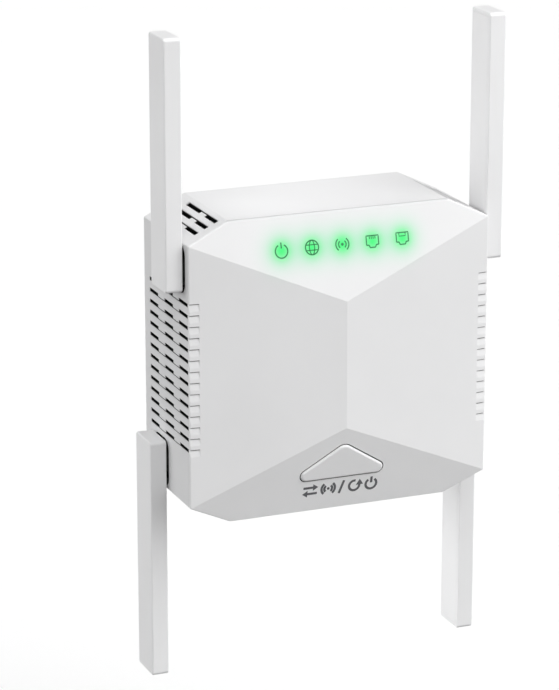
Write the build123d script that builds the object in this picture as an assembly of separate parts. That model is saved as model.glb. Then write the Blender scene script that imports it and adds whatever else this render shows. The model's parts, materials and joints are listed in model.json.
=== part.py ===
from build123d import *
import os
from math import atan2, cos, degrees, sin

# Plug-in wireless range extender with four folding antennas, two network sockets
# on its underside, five indicator lights and one pairing button.
#
# Frame: the origin is midway between the two mains pins, on the face of the plug base.
# +X is to the right as seen from the front, +Y points into the wall, +Z is up.
# Helper names: "depth" is measured back from the front ridge along +Y, "lift" is
# measured up from the middle of the housing along +Z. All sizes are in millimetres.

# ---- housing envelope ----
WIDTH = 80.0
HEIGHT = 77.2
DEPTH = 36.5              # front ridge to back wall
PLUG_DEPTH = 16.5         # how far the plug base stands out behind the back wall
BODY_LIFT = 4.0           # housing centre above the centre of the plug
CORNER_RUN = 10.9         # corner chamfer along X
CORNER_RISE = 5.15        # corner chamfer along Z
SIDE_SETBACK = 4.15       # side edges lie this far behind the ridge
RIDGE_TOP = 16.6          # lift of the ridge's upper end
RIDGE_BOTTOM = -16.1      # lift of the ridge's lower end

# ---- shells ----
WALL = 2.0
COVER_WALL = 2.0
COVER_RIM = 0.8           # height of the cover's visible rim
SEAM_GAP = 0.12
SHELL_FIT = 0.15          # gap between the cover's lip and the housing wall
EDGE_ROUND = 0.35         # outline edges, front and sides
BACK_ROUND = 0.9

# ---- louvres ----
ROW_PITCH = 2.86
ROW_COUNT = 14
FIRST_ROW_LIFT = 19.05    # top of the first opening
SLOT_HEIGHT = 1.0
SLOTS = ((4.9, 6.3), (15.3, 6.1), (25.9, 6.1))      # start depth and length of each opening
GROOVE_HEIGHT = 0.3
GROOVE_DEPTH = 0.25
LOUVRE_WALL = 1.0         # side wall where the louvres pass through it
LOUVRE_DEPTHS = (6.4, 33.0)
LOUVRE_LIFT = 20.3
NOTCH_LENGTH = 2.6
NOTCH_HEIGHT = 1.9
NOTCH_SLIT = (0.25, 0.5)  # height and depth of the slit along a notch's top
NOTCH_FLOOR = 0.22        # depth of the sloping floor where it meets the slit
CORNER_ROWS = 3
CORNER_FIRST = 2.06       # first corner row from the chamfer's inner edge
CORNER_SLOTS = ((8.6, 7.8), (19.9, 9.1))
CORNER_SLOT_HEIGHT = 1.3
CORNER_CUT = 6.0          # corner openings reach half of this to either side of the chamfer
BRIDGE_DEPTH = 0.3        # shelf that joins the two openings of a corner row
BRIDGE_GROOVE = (0.35, 0.8)     # height and depth of the groove along the shelf's inner side

# ---- antennas ----
BLADE_THICK = 4.4
BLADE_WIDTH = 10.5
BLADE_LENGTH = 62.7
BLADE_GAP = 0.6           # blade to side wall
BLADE_ROUND = 0.4
BLADE_INNER_ROUND = 0.3
BLADE_CORNER = 0.9
HUB_FROM_END = 5.25       # hinge axis from the blade's lower end
UPPER_HUB = (11.75, 26.75)    # depth, lift
LOWER_HUB = (24.6, -25.6)
BLADE_SKIN = 1.0
LID_THICK = 1.0
POCKET_DEPTH = 3.5
POCKET_FLOOR = 1.6
POCKET_HALF = 5.15
POCKET_END = 6.0          # pocket's inner end from the hinge axis
LOWER_POCKET_END = 5.1
POCKET_LIMIT = 33.0       # lift of the pockets' outer ends, above and below
POCKET_ROUND = 2.8
SPIGOT_R = 3.0
SPIGOT_CLEARANCE = 0.06
SPIGOT_BORE_R = 1.2
FLANGE_R = 4.4
CLIP_R = 4.1
CLIP_GROOVE_R = 2.4
CLIP_THICK = 0.7
CLIP_MOUTH = 2.6
CLIP_SLACK = 0.04         # groove wider than the clip by this much on each side
LID_GAP = 0.06            # lid to casing
LID_RIB = (0.8, 5.0, 1.0)
LID_RIB_LEVELS = (12.0, 48.0)
ELEMENT_THICK = 0.8
ELEMENT_HALF = 3.2
ELEMENT_ENDS = (6.0, 54.0)
ELEMENT_SLOT_LEVELS = (20.0, 32.0, 44.0)
LEAD_R = 0.57
LEAD_X = 22.0             # each lead turns down to its plug here
LEAD_BEND = 4.0
LEAD_INSERT = 0.5         # length of lead inside the spigot
LEAD_PLUG_R = 1.2
UPPER_PLUG_LIFT = 14.8

# ---- button ----
BUTTON_HALF_BASE = 14.7
BUTTON_BASE = -29.85
BUTTON_APEX = -20.3
BUTTON_CORNER_R = 1.5
BUTTON_APEX_R = 2.6
BUTTON_PROUD = 0.45
BUTTON_CLEARANCE = 0.25
BUTTON_EDGE_ROUND = 0.6
BUTTON_FLANGE = 1.3       # flange beyond the cap's outline
SKIRT_END = 7.0           # depth of the cap's inner end
STEM_LIFT = -26.0
STEM_HALF_WIDTH = 2.2
STEM_HALF_HEIGHT = 1.6
STEM_START = 6.5
STEM_END = 9.6            # the stem meets the switch plunger here
PLUNGER_R = 1.6
SWITCH_SIZE = 6.0
SWITCH_HEIGHT = 2.2

# ---- indicators ----
LAMP_PITCH = 8.05
LAMP_COUNT = 5
LAMP_LIFT = 30.35
LAMP_WINDOW_R = 1.9
WINDOW_SKIN = 0.9         # cover left in front of each light pipe
LAMP_SIZE = (1.6, 0.7, 1.0)
GUIDE_HALF = 19.5
GUIDE_RISE = 2.6
GUIDE_FRONT = 8.6         # depths of the light guide's bar
GUIDE_BACK = 10.2
PIPE_END = 11.9
PIPE_R = 1.4
GUIDE_PEG_X = 12.1
GUIDE_PEG_R = 0.7

# ---- boards and sockets ----
BOARD_THICK = 1.6
MAIN_BOARD_DEPTH = 12.8   # front face of the main board
POWER_BOARD_DEPTH = 29.3  # front face of the power board
JACK_WIDTH = 16.0
JACK_HEIGHT = 13.4
JACK_LENGTH = 18.0
JACK_SPACING = 19.0
JACK_FIT = 0.15
JACK_MOUTH_WIDTH = 11.8
JACK_MOUTH_HEIGHT = 7.0
JACK_MOUTH_LENGTH = 14.0
JACK_MOUTH_START = 3.6    # mouth behind the socket's front wall
LATCH_WIDTH = 6.4
LATCH_HEIGHT = 2.0
CONTACT_COUNT = 8
CONTACT_PITCH = 1.02
WIRE_WIDTH = 0.4
WIRE_THICK = 0.35
WIRE_ROOT = 2.0           # straight part of a contact wire
WIRE_REACH = 1.9          # how far its free end stands into the mouth
WIRE_TIP = 4.0            # height of its free end above the socket's lower edge
MAIN_BOARD_HALF = (31.0, 34.5)
MAIN_BOARD_CORNER = (24.4, 27.5)    # corners beyond this are cut away for the posts
POWER_BOARD_HALF = 29.0
POWER_BOARD_LIFTS = (-18.0, 26.0)
SHIELD_HALF = 15.0
SHIELD_LIFTS = (-10.0, 18.0)
SHIELD_HEIGHT = 2.6
SHIELD_SHEET = 0.3
SHIELD_HOLE_R = 0.6
SHIELD_HOLE_GRID = ((5, 5.0), (4, 6.0))     # count and pitch across and up

# ---- components: chips are (middle X, middle lift, half width, half height, thickness) ----
RADIO_CHIPS = ((0.0, 4.0, 6.0, 6.0, 1.0), (-10.5, 5.5, 2.5, 2.5, 1.0), (10.5, 5.5, 2.5, 2.5, 1.0))
POWER_CHIPS = ((13.0, -5.5, 2.0, 3.5, 2.2), (-13.5, -6.0, 2.5, 3.0, 1.6), (0.0, -3.5, 2.5, 2.5, 1.6))
SINK_HALF = 17.0
SINK_LIFTS = (-12.0, 14.0)
SINK_BASE = 1.2
SINK_HEIGHT = 3.4
SINK_FINS = (9, 0.5)      # number of fins, half thickness
CORE_HALF = 9.0
CORE_LIFTS = (6.0, 22.0)
CORE_HEIGHT = 10.6
CORE_WINDOW = (6.2, 3.0)  # half width, distance from the core's ends
CORE_LEG = (2.6, 2.8, 7.8)      # half width, near and far side above the board
COIL_LEVELS = (0.4, 10.2)
COIL_FIT = 0.1
CAPACITORS = ((-19.0, 8.0, 4.0, 10.8), (19.0, 6.0, 5.0, 11.2))      # X, lift, radius, height
CAPACITOR_ROUND = 0.6
FUSE = (7.0, -14.0, 2.5)  # half length, lift, radius
LINK_PINS = (6, 2.54, 0.32)     # number, pitch, half thickness
LINK_LIFT = 24.3
LINK_HEADER = (8.0, 2.5, 1.5)   # half width, thickness, half height

# ---- posts and screws ----
POST_X = 28.0             # four cover posts near the corners
POST_LIFT = 31.5
POST_R = 2.9
POST_END = 25.9
BOSS_R = 3.9              # housing bosses that meet the posts
BOSS_START = 26.0
SCREW_SEAT = 29.0         # depth of the housing screws' seats
BOARD_POST_X = 25.0       # two main board posts
BOARD_POST_R = 2.4
POWER_POSTS = ((-24.0, -12.0), (-24.0, 18.0), (24.0, -12.0), (24.0, 18.0))
PILOT_FIT = 0.02          # pilot hole over a screw's shank
SCREW_ROOM = 0.2          # clearance hole over a shank or a head
HOUSING_SCREW = (1.25, 12.0, 2.5, 1.8)      # shank radius and length, head radius and height
BOARD_SCREW = (1.0, 5.6, 1.9, 1.2)
POWER_SCREW = (1.0, 4.6, 1.9, 1.2)
CARRIER_SCREW = (1.0, 6.0, 1.7, 1.1)
OVERLAP = 0.5             # how far joined shapes run into each other

# ---- plug ----
PIN_SPACING = 19.0
PIN_R = 2.4
PIN_LENGTH = 19.0
PLUG_R = 18.25
PLUG_NECK_R = 15.0
PLUG_ROUND = 1.2
PLUG_WALL = 2.0
PLUG_FACE_WALL = 4.0
PLUG_WEB = 4.2            # half height of the web that carries the pins
PIN_SHANK_R = 2.0         # the pins are thinner inside the plug base
PIN_RECESS = (0.05, 0.4)  # recess under each pin's shoulder: wider than the pin by, depth
PIN_TIP_ROUND = 1.4
PIN_FIT = 0.01
PIN_TAIL = 2.6            # pin inside the back wall's inner face
NOTCH_START = 1.5         # earth and guide notches from the back wall
EARTH_NOTCH = (3.0, 1.6)  # half width, depth
GUIDE_NOTCH = (2.6, 0.9)
CARRIER_HALF = (17.0, 15.8)
CARRIER_THICK = 1.4
CARRIER_SCREW_RISE = 1.8
TAB_HALF = 1.5

HALF_W = WIDTH / 2
HALF_H = HEIGHT / 2
BACK_Y = -PLUG_DEPTH
RIDGE_Y = BACK_Y - DEPTH
TOP_SLOPE = SIDE_SETBACK / (HALF_H - CORNER_RISE - RIDGE_TOP)
BOTTOM_SLOPE = SIDE_SETBACK / (HALF_H - CORNER_RISE + RIDGE_BOTTOM)
SIDE_SLOPE = SIDE_SETBACK / HALF_W
PLUG_LIFT = -BODY_LIFT
BACK_INNER = DEPTH - WALL
JACK_FRONT = MAIN_BOARD_DEPTH + BOARD_THICK
JACK_BACK = JACK_FRONT + JACK_HEIGHT
JACK_LOW = -HALF_H + 0.3
LOWER_PLUG_DEPTH = JACK_FRONT + 1.2
MOUTH_FRONT = JACK_FRONT + JACK_MOUTH_START
MOUTH_BACK = MOUTH_FRONT + JACK_MOUTH_HEIGHT
SPIGOT_END = -(POCKET_DEPTH + POCKET_FLOOR + 2.5)       # X from the side wall
CLIP_START = -(POCKET_DEPTH + POCKET_FLOOR + 0.08)
POSTS = [(x, level) for x in (-POST_X, POST_X) for level in (-POST_LIFT, POST_LIFT)]
LAMP_XS = [(index - (LAMP_COUNT - 1) / 2) * LAMP_PITCH for index in range(LAMP_COUNT)]
POCKETS = (
    (UPPER_HUB, 1, POCKET_END),
    (LOWER_HUB, -1, LOWER_POCKET_END),
)


def depth(value):
    """Y of a distance behind the front ridge."""
    return RIDGE_Y + value


def lift(value):
    """Z of a height above the middle of the housing."""
    return BODY_LIFT + value


def block(x0, x1, d0, d1, l0, l1):
    """Box between two X values, two depths and two lifts."""
    centre = Pos((x0 + x1) / 2, depth((d0 + d1) / 2), lift((l0 + l1) / 2))
    return centre * Box(abs(x1 - x0), abs(d1 - d0), abs(l1 - l0))


def block_xyz(x0, x1, y0, y1, z0, z1):
    """Box in plain coordinates."""
    return Pos((x0 + x1) / 2, (y0 + y1) / 2, (z0 + z1) / 2) * Box(x1 - x0, y1 - y0, z1 - z0)


def rod_y(x, level, radius, d0, d1):
    """Round bar along Y from depth d0 to depth d1."""
    start = Plane(origin=(x, depth(d0), lift(level)), x_dir=(1, 0, 0), z_dir=(0, 1, 0))
    return extrude(start * Circle(radius), d1 - d0)


def rod_x(x0, x1, y, z, radius):
    """Round bar along X between two X values."""
    start = Plane(origin=(x0, y, z), x_dir=(0, 1, 0), z_dir=(1, 0, 0))
    return extrude(start * Circle(radius), x1 - x0)


def polygon(points):
    """Closed face through the given corner points."""
    return make_face(Polyline(*points, close=True))


def join(shapes):
    """One compound that keeps its solids separate."""
    solids = [solid for shape in shapes for solid in shape.solids()]
    return Compound(children=solids)


def save(name, shape):
    """Write one sub-part."""
    export_step(shape, f"parts/{name}.step")


# ---- faceted body ----

def octagon(inset):
    """Front outline of the housing, moved inwards by inset."""
    x, z = HALF_W, HALF_H
    corners = [
        (-x, z - CORNER_RISE), (-x + CORNER_RUN, z),
        (x - CORNER_RUN, z), (x, z - CORNER_RISE),
        (x, -z + CORNER_RISE), (x - CORNER_RUN, -z),
        (-x + CORNER_RUN, -z), (-x, -z + CORNER_RISE),
    ]
    outline = polygon([(px, pz + BODY_LIFT) for px, pz in corners])
    if inset:
        outline = offset(outline, amount=-inset, kind=Kind.INTERSECTION)
    return outline


def faceted_body(inset, setback, back_depth):
    """Octagonal block whose four front facets meet along the ridge.

    inset moves the side walls inwards, setback moves the facets back.
    """
    sheet = Plane(origin=(0, depth(back_depth), 0), x_dir=(1, 0, 0), z_dir=(0, -1, 0))
    prism = extrude(sheet * octagon(inset), back_depth + 1.0)
    reach = WIDTH
    side = SIDE_SLOPE * reach
    roof = polygon([
        (-reach, depth(side + setback)), (0, depth(setback)), (reach, depth(side + setback)),
        (reach, depth(back_depth)), (-reach, depth(back_depth)),
    ])
    roof = extrude(Plane.XY.offset(-WIDTH) * roof, 2 * WIDTH)
    rise = HEIGHT
    gable = polygon([
        (depth(setback), lift(RIDGE_BOTTOM)), (depth(setback), lift(RIDGE_TOP)),
        (depth(TOP_SLOPE * (rise - RIDGE_TOP) + setback), lift(rise)),
        (depth(DEPTH + rise), lift(rise)), (depth(DEPTH + rise), lift(-rise)),
        (depth(BOTTOM_SLOPE * (rise + RIDGE_BOTTOM) + setback), lift(-rise)),
    ])
    gable = extrude(Plane.YZ.offset(-WIDTH) * gable, 2 * WIDTH)
    return prism & roof & gable


def facet_depth(x, level):
    """Depth of the outer front surface at a point of the front view."""
    return max(
        SIDE_SLOPE * abs(x),
        TOP_SLOPE * (level - RIDGE_TOP),
        BOTTOM_SLOPE * (RIDGE_BOTTOM - level),
    )


def on_outline(point):
    """True for a point on the housing's octagonal outline."""
    x = abs(point.X)
    level = abs(point.Z - BODY_LIFT)
    beyond = (x - HALF_W) / CORNER_RUN + (level - HALF_H) / CORNER_RISE + 1
    return max(x - HALF_W, level - HALF_H, beyond) > -0.01


def rounded_envelope():
    """Whole outer form with its outline edges softened."""
    body = faceted_body(0, 0, DEPTH)
    outline = []
    for edge in body.edges():
        behind = edge.center().Y > BACK_Y - 0.1
        if all(on_outline(corner) for corner in edge.vertices()) and not behind:
            outline.append(edge)
    body = fillet(outline, EDGE_ROUND)
    return fillet(body.faces().sort_by(Axis.Y)[-1].edges(), BACK_ROUND)


# ---- button ----

def button_outline(grow):
    """Rounded triangle of the button in the front view."""
    corners = [
        (-BUTTON_HALF_BASE, lift(BUTTON_BASE)),
        (BUTTON_HALF_BASE, lift(BUTTON_BASE)),
        (0, lift(BUTTON_APEX)),
    ]
    face = polygon(corners)
    tips = face.vertices().sort_by(Axis.X)
    face = fillet([tips[0], tips[2]], BUTTON_CORNER_R)
    apex = face.vertices().group_by(Axis.Y)[-1]
    face = fillet(apex, BUTTON_APEX_R)
    if grow:
        face = offset(face, amount=grow, kind=Kind.ARC)
    return face


def button_prism(grow, d0, d1):
    """Button outline extruded between two depths."""
    sheet = Plane(origin=(0, depth(d1), 0), x_dir=(1, 0, 0), z_dir=(0, -1, 0))
    return extrude(sheet * button_outline(grow), d1 - d0)


# ---- louvre rows ----

def row_lifts():
    """Top edge of every louvre row on a side wall."""
    return [FIRST_ROW_LIFT - ROW_PITCH * index for index in range(ROW_COUNT)]


def side_slots(side):
    """Through openings and joining grooves of one side wall."""
    cutters = []
    outer = side * (HALF_W + 1)
    inner = side * (HALF_W - WALL - 1)
    skin = side * (HALF_W - GROOVE_DEPTH)
    for top in row_lifts():
        bottom = top - SLOT_HEIGHT
        for start, length in SLOTS:
            cutters.append(block(inner, outer, start, start + length, bottom, top))
        cutters.append(block(skin, outer, SLOTS[0][0], sum(SLOTS[-1]), bottom, bottom + GROOVE_HEIGHT))
    return cutters


def facet_notches(side):
    """Shallow recesses with a slit along the top that carry the rows onto the front cover."""
    cutters = []
    turn = degrees(atan2(SIDE_SETBACK, HALF_W))
    start = HALF_W - NOTCH_LENGTH
    slit_height, slit_depth = NOTCH_SLIT
    for top in row_lifts():
        slit = lift(top - slit_height)
        profile = polygon([
            (-NOTCH_FLOOR, lift(top)), (slit_depth, lift(top)), (slit_depth, slit), (NOTCH_FLOOR, slit),
            (-NOTCH_FLOOR, lift(top - 2 * NOTCH_HEIGHT + slit_height)),
        ])
        notch = Rot(0, 0, turn) * extrude(Plane.YZ * profile, NOTCH_LENGTH + OVERLAP)
        notch = Pos(start, depth(SIDE_SLOPE * start), 0) * notch
        cutters.append(notch if side > 0 else mirror(notch, about=Plane.YZ))
    return cutters


def corner_slots(side, up):
    """Three louvre rows across one corner chamfer, each two openings long."""
    cutters = []
    angle = atan2(CORNER_RISE, CORNER_RUN)
    first_end = sum(CORNER_SLOTS[0])
    second_start = CORNER_SLOTS[1][0]
    bridge_y = depth((first_end + second_start) / 2)
    bridge_length = second_start - first_end + 2 * OVERLAP
    groove_height, groove_depth = BRIDGE_GROOVE
    shelf = Box(CORNER_SLOT_HEIGHT, bridge_length, 2 * BRIDGE_DEPTH)
    groove_shift = (groove_height - CORNER_SLOT_HEIGHT) / 2
    bridge = shelf + Pos(groove_shift, 0, 0) * Box(groove_height, bridge_length, 2 * groove_depth)
    for index in range(CORNER_ROWS):
        along = CORNER_FIRST + index * ROW_PITCH
        x = HALF_W - CORNER_RUN + along * cos(angle)
        level = HALF_H - along * sin(angle)
        place = Pos(x, 0, lift(level)) * Rot(0, degrees(angle), 0)
        for start, length in CORNER_SLOTS:
            centre = depth(start + length / 2)
            cutters.append(place * Pos(0, centre, 0) * Box(CORNER_SLOT_HEIGHT, length, CORNER_CUT))
        cutters.append(place * Pos(0, bridge_y, 0) * bridge)
    if side < 0:
        cutters = [mirror(item, about=Plane.YZ) for item in cutters]
    if up < 0:
        cutters = [mirror(item, about=Plane.XY.offset(BODY_LIFT)) for item in cutters]
    return cutters


# ---- antenna pockets ----

def pocket_cut(side, hub, up, end):
    """Recess with rounded corners in the side wall around a hinge."""
    centre_depth, centre_lift = hub
    inner = centre_lift - up * end
    outer = up * POCKET_LIMIT
    sketch = Rectangle(2 * POCKET_HALF, abs(outer - inner))
    sketch = fillet(sketch.vertices(), POCKET_ROUND)
    middle = (HALF_W - POCKET_DEPTH, depth(centre_depth), lift((inner + outer) / 2))
    wall_plane = Plane(origin=middle, x_dir=(0, 1, 0), z_dir=(1, 0, 0))
    cut = extrude(wall_plane * sketch, POCKET_DEPTH + 2)
    return cut if side > 0 else mirror(cut, about=Plane.YZ)


def pocket_liner(side, hub, up, end, grow=0):
    """Material behind and around a pocket, inside the housing wall."""
    centre_depth, centre_lift = hub
    half = POCKET_HALF + POCKET_FLOOR + grow
    inner = HALF_W - POCKET_DEPTH - POCKET_FLOOR - grow
    closed = centre_lift - up * (end + POCKET_FLOOR + grow)
    return block(side * inner, side * HALF_W, centre_depth - half, centre_depth + half,
                 min(closed, up * HALF_H), max(closed, up * HALF_H))


# ---- shells ----

def build_front_cover(envelope):
    """Faceted front panel with a thin rim, a locating lip and rear posts."""
    rim = envelope - faceted_body(-1, COVER_RIM, DEPTH + 1)
    lip = faceted_body(WALL + SHELL_FIT, COVER_RIM / 2, DEPTH) - faceted_body(-1, COVER_WALL, DEPTH + 1)
    for side in (-1, 1):
        lip = lip - pocket_liner(side, UPPER_HUB, 1, POCKET_END, SHELL_FIT)
    cover = rim + (lip & envelope)
    for cutter in facet_notches(1) + facet_notches(-1):
        cover = cover - cutter
    pilot_r = HOUSING_SCREW[0] + PILOT_FIT
    for x, level in POSTS:
        front = facet_depth(x, level) + COVER_WALL - OVERLAP
        post = rod_y(x, level, POST_R, front, POST_END)
        pilot = rod_y(x, level, pilot_r, SCREW_SEAT - HOUSING_SCREW[1] - 1, POST_END + 1)
        cover = cover + post - pilot
    pilot_r = BOARD_SCREW[0] + PILOT_FIT
    for x in (-BOARD_POST_X, BOARD_POST_X):
        front = facet_depth(x, 0) + COVER_WALL - OVERLAP
        post = rod_y(x, 0, BOARD_POST_R, front, MAIN_BOARD_DEPTH)
        pilot = rod_y(x, 0, pilot_r, JACK_FRONT - BOARD_SCREW[1] - 1, MAIN_BOARD_DEPTH + 1)
        cover = cover + post - pilot
    cover = cover - button_prism(BUTTON_CLEARANCE, -1, GUIDE_FRONT)
    for x in LAMP_XS:
        front = facet_depth(x, LAMP_LIFT) + WINDOW_SKIN
        cover = cover - rod_y(x, LAMP_LIFT, LAMP_WINDOW_R + 0.1, front, GUIDE_FRONT)
    return cover


def build_rear_housing(envelope):
    """Deep rear shell with louvres, antenna pockets, bosses and cut-outs."""
    outer = envelope & faceted_body(-1, COVER_RIM + SEAM_GAP, DEPTH + 1)
    shell = outer - faceted_body(WALL, 0, BACK_INNER)
    for side in (-1, 1):
        shell = shell - block(side * (HALF_W - WALL - 1), side * (HALF_W - LOUVRE_WALL),
                              *LOUVRE_DEPTHS, -LOUVRE_LIFT, LOUVRE_LIFT)
        for hub, up, end in POCKETS:
            shell = shell + (pocket_liner(side, hub, up, end) & outer)
    inside = faceted_body(WALL - OVERLAP, 0, DEPTH - OVERLAP)
    for x, level in POSTS:
        shell = shell + (rod_y(x, level, BOSS_R, BOSS_START, DEPTH - OVERLAP) & inside)
    for x, level in POWER_POSTS:
        shell = shell + rod_y(x, level, BOARD_POST_R, POWER_BOARD_DEPTH + BOARD_THICK, DEPTH - OVERLAP)
    for cutter in housing_cutters():
        shell = shell - cutter
    return shell


def housing_cutters():
    """Everything that is cut out of the rear shell."""
    cutters = []
    for side in (-1, 1):
        for hub, up, end in POCKETS:
            hub_depth, hub_lift = hub
            cutters.append(pocket_cut(side, hub, up, end))
            bore = rod_x(HALF_W - 2 * POCKET_DEPTH, HALF_W, depth(hub_depth), lift(hub_lift),
                         SPIGOT_R + SPIGOT_CLEARANCE)
            cutters.append(bore if side > 0 else mirror(bore, about=Plane.YZ))
        cutters += side_slots(side)
        cutters += corner_slots(side, 1)
        cutters += corner_slots(side, -1)
    shank_r, shank_length, head_r, head_height = HOUSING_SCREW
    for x, level in POSTS:
        cutters.append(rod_y(x, level, shank_r + SCREW_ROOM, BOSS_START - 1, DEPTH + 1))
        cutters.append(rod_y(x, level, head_r + SCREW_ROOM, SCREW_SEAT, DEPTH + 1))
    for x, level in POWER_POSTS:
        pilot_end = POWER_BOARD_DEPTH + POWER_SCREW[1] + 1
        cutters.append(rod_y(x, level, POWER_SCREW[0] + PILOT_FIT, POWER_BOARD_DEPTH, pilot_end))
    for sign in (-1, 1):
        x = sign * JACK_SPACING / 2
        half = JACK_WIDTH / 2 + JACK_FIT
        cutters.append(block(x - half, x + half, JACK_FRONT - JACK_FIT, JACK_BACK + JACK_FIT,
                             -HALF_H - 1, -HALF_H + WALL + OVERLAP))
    cutters.append(rod_y(0, PLUG_LIFT, PLUG_NECK_R + 0.05, BACK_INNER - 1, DEPTH + 1))
    return cutters


# ---- button and lamps ----

def build_button():
    """Triangular cap with a retaining flange and a stem."""
    cap = button_prism(0, -1, SKIRT_END) & faceted_body(-2, -BUTTON_PROUD, DEPTH)
    facet = cap.faces().sort_by(Axis.Y)[0]
    cap = fillet(facet.edges(), BUTTON_EDGE_ROUND)
    behind_cover = faceted_body(2, COVER_WALL + 0.2, DEPTH)
    flange = button_prism(BUTTON_FLANGE, 0, SKIRT_END) & behind_cover
    stem = block(-STEM_HALF_WIDTH, STEM_HALF_WIDTH, STEM_START, STEM_END,
                 STEM_LIFT - STEM_HALF_HEIGHT, STEM_LIFT + STEM_HALF_HEIGHT)
    return cap + flange + stem


def build_switch_body():
    """Push switch soldered to the front of the main board."""
    half = SWITCH_SIZE / 2
    front = MAIN_BOARD_DEPTH - SWITCH_HEIGHT
    body = block(-half, half, front, MAIN_BOARD_DEPTH, STEM_LIFT - half, STEM_LIFT + half)
    return body - rod_y(0, STEM_LIFT, PLUNGER_R + 0.05, front - 1, MAIN_BOARD_DEPTH - 0.4)


def build_switch_plunger():
    """Round plunger that the button's stem presses."""
    return rod_y(0, STEM_LIFT, PLUNGER_R, STEM_END, MAIN_BOARD_DEPTH - 1.2)


def build_light_guide():
    """Clear bar with one round pipe behind each indicator window."""
    guide = block(-GUIDE_HALF, GUIDE_HALF, GUIDE_FRONT, GUIDE_BACK,
                  LAMP_LIFT - GUIDE_RISE, LAMP_LIFT + GUIDE_RISE)
    front = facet_depth(0, LAMP_LIFT + LAMP_WINDOW_R) + WINDOW_SKIN + 0.1
    for x in LAMP_XS:
        guide = guide + rod_y(x, LAMP_LIFT, LAMP_WINDOW_R, front, GUIDE_FRONT + OVERLAP)
        guide = guide + rod_y(x, LAMP_LIFT, PIPE_R, GUIDE_BACK - OVERLAP, PIPE_END)
    for x in (-GUIDE_PEG_X, GUIDE_PEG_X):
        guide = guide + rod_y(x, LAMP_LIFT, GUIDE_PEG_R + OVERLAP, GUIDE_BACK - OVERLAP, MAIN_BOARD_DEPTH)
        guide = guide + rod_y(x, LAMP_LIFT, GUIDE_PEG_R, MAIN_BOARD_DEPTH - OVERLAP, MAIN_BOARD_DEPTH + 1.2)
    return guide


def build_led_emitters():
    """Five surface-mounted lamps on the main board."""
    wide, tall, high = LAMP_SIZE
    lamps = []
    for x in LAMP_XS:
        lamps.append(block(x - wide / 2, x + wide / 2, MAIN_BOARD_DEPTH - tall, MAIN_BOARD_DEPTH,
                           LAMP_LIFT - high / 2, LAMP_LIFT + high / 2))
    return join(lamps)


# ---- boards ----

def build_main_board():
    """Radio and network board, standing parallel to the front."""
    d0 = MAIN_BOARD_DEPTH
    d1 = d0 + BOARD_THICK
    half_x, half_z = MAIN_BOARD_HALF
    cut_x, cut_z = MAIN_BOARD_CORNER
    board = block(-half_x, half_x, d0, d1, -half_z, half_z)
    for sx in (-1, 1):
        for sz in (-1, 1):
            board = board - block(sx * cut_x, sx * WIDTH, d0 - 1, d1 + 1, sz * cut_z, sz * HEIGHT)
        board = board - rod_y(sx * BOARD_POST_X, 0, BOARD_SCREW[0] + SCREW_ROOM, d0 - 1, d1 + 1)
        board = board - rod_y(sx * GUIDE_PEG_X, LAMP_LIFT, GUIDE_PEG_R + 0.05, d0 - 1, d1 + 1)
    return board


def build_power_board():
    """Mains converter board, near the back wall."""
    d0 = POWER_BOARD_DEPTH
    d1 = d0 + BOARD_THICK
    board = block(-POWER_BOARD_HALF, POWER_BOARD_HALF, d0, d1, *POWER_BOARD_LIFTS)
    for x, level in POWER_POSTS:
        board = board - rod_y(x, level, POWER_SCREW[0] + SCREW_ROOM, d0 - 1, d1 + 1)
    return board


def pan_screw(x, level, seat, direction, sizes):
    """Pan-head screw along Y with a cross recess; direction is where its shank points."""
    shank_r, shank_length, head_r, head_height = sizes
    outer = seat - direction * head_height
    head = rod_y(x, level, head_r, seat, outer)
    screw = head + rod_y(x, level, shank_r, seat, seat + direction * shank_length)
    recess_end = outer + direction * head_height / 2
    slot_long = head_r * 0.6
    slot_wide = head_r * 0.12
    for half_x, half_z in ((slot_long, slot_wide), (slot_wide, slot_long)):
        screw = screw - block(x - half_x, x + half_x, outer, recess_end, level - half_z, level + half_z)
    return screw


def build_housing_screws():
    """Four screws that hold the cover to the housing."""
    return join([pan_screw(x, level, SCREW_SEAT, -1, HOUSING_SCREW) for x, level in POSTS])


def build_board_screws():
    """Two screws through the main board."""
    return join([pan_screw(x, 0, JACK_FRONT, -1, BOARD_SCREW) for x in (-BOARD_POST_X, BOARD_POST_X)])


def build_power_board_screws():
    """Four screws through the power board."""
    return join([pan_screw(x, level, POWER_BOARD_DEPTH, 1, POWER_SCREW) for x, level in POWER_POSTS])


def build_rf_shield():
    """Perforated sheet-metal can over the radio circuits."""
    back = MAIN_BOARD_DEPTH
    front = back - SHIELD_HEIGHT
    low, high = SHIELD_LIFTS
    inner = SHIELD_HALF - SHIELD_SHEET
    can = block(-SHIELD_HALF, SHIELD_HALF, front, back, low, high)
    can = can - block(-inner, inner, front + SHIELD_SHEET, back + 1, low + SHIELD_SHEET, high - SHIELD_SHEET)
    (columns, pitch_x), (rows, pitch_z) = SHIELD_HOLE_GRID
    for column in range(columns):
        for row in range(rows):
            x = (column - (columns - 1) / 2) * pitch_x
            level = (low + high) / 2 + (row - (rows - 1) / 2) * pitch_z
            can = can - rod_y(x, level, SHIELD_HOLE_R, front - 1, front + 1)
    return can


def chips(specs, back):
    """Flat chips standing forward from a board whose front face is at depth back."""
    bodies = []
    for x, level, half_x, half_z, thick in specs:
        bodies.append(block(x - half_x, x + half_x, back - thick, back, level - half_z, level + half_z))
    return join(bodies)


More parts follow.
